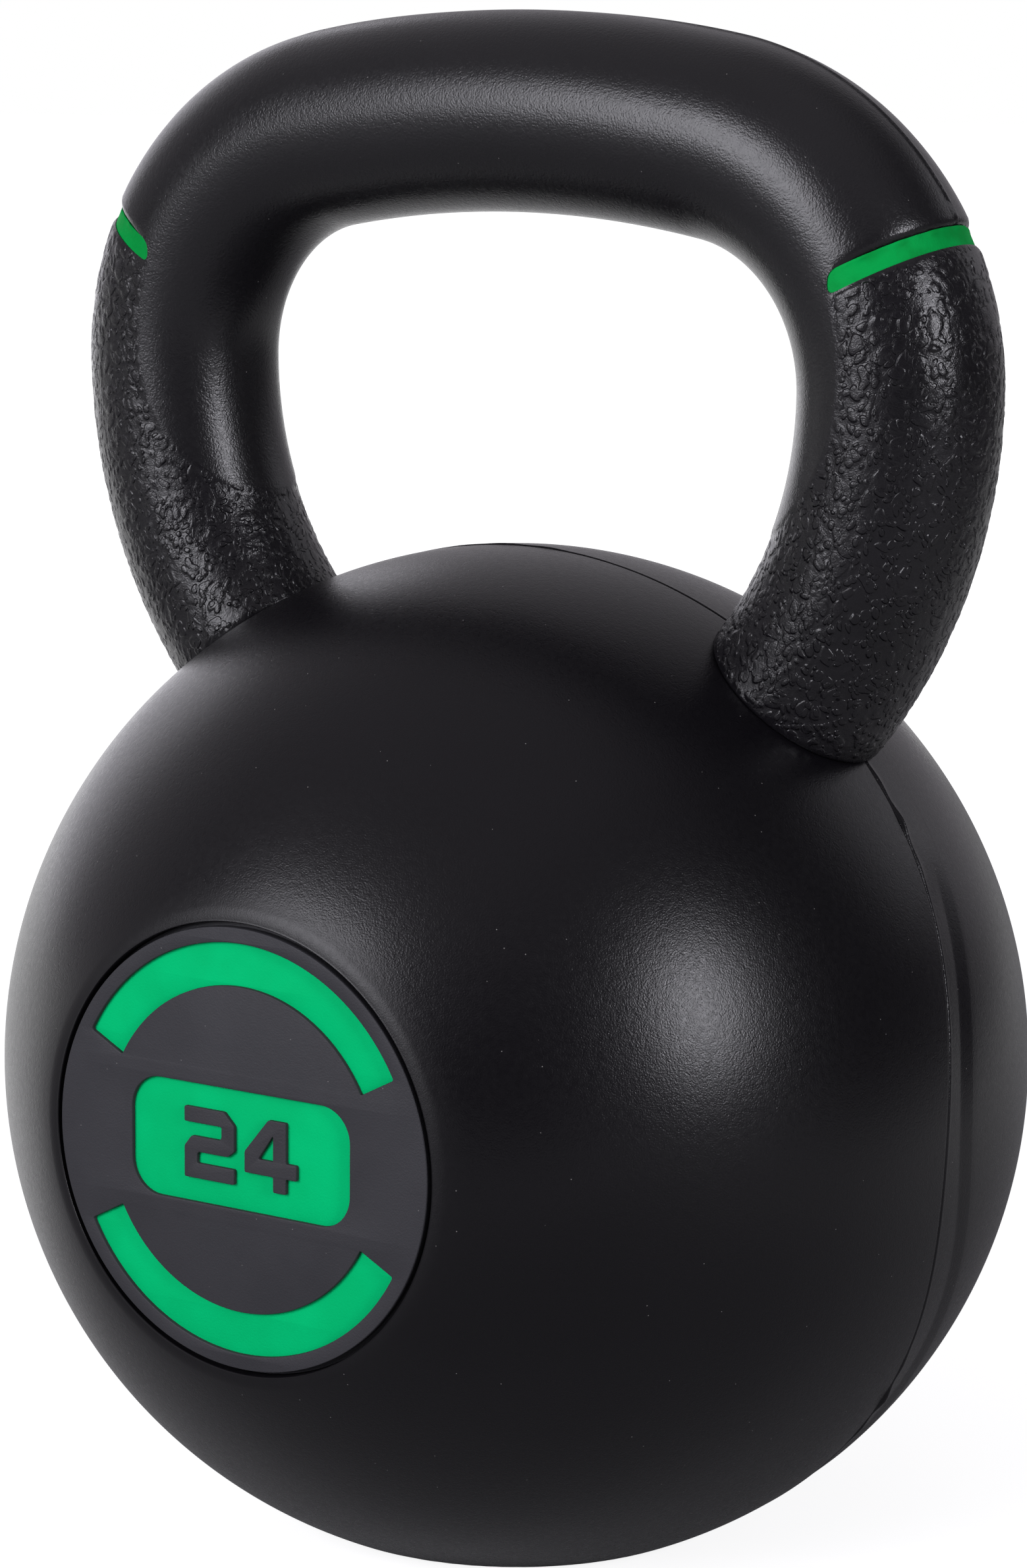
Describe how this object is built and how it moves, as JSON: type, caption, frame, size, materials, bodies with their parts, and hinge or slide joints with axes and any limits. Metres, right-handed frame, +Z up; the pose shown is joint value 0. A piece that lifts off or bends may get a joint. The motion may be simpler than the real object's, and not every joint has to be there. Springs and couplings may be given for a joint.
{
  "type": "kettlebell",
  "caption": "Rubber-coated kettlebell with an iron core, a smooth grip with textured horns, coloured bands and a number disc.",
  "frame": {"origin": "centre of the flat base, on the surface that the kettlebell stands on", "axes": "+Z up through the handle, +X to the right along the handle, and the number disc faces -Y"},
  "size_m": [0.1908, 0.1814, 0.2777],
  "materials": {
    "iron": "matte",
    "ball_rubber": "satin",
    "grip_rubber": "satin",
    "pad_rubber": "satin",
    "band_green": "matte",
    "disc_black": "matte",
    "inlay_green": "matte"
  },
  "bodies": {
    "root": {"iron_core": "iron", "coat_front": "ball_rubber", "coat_rear": "ball_rubber", "handle_grip": "grip_rubber", "horn_pad_left": "pad_rubber", "horn_pad_right": "pad_rubber", "band_left": "band_green", "band_right": "band_green", "disc": "disc_black", "ring_inlay_upper": "inlay_green", "ring_inlay_lower": "inlay_green", "number_panel": "inlay_green"}
  },
  "joints": []
}
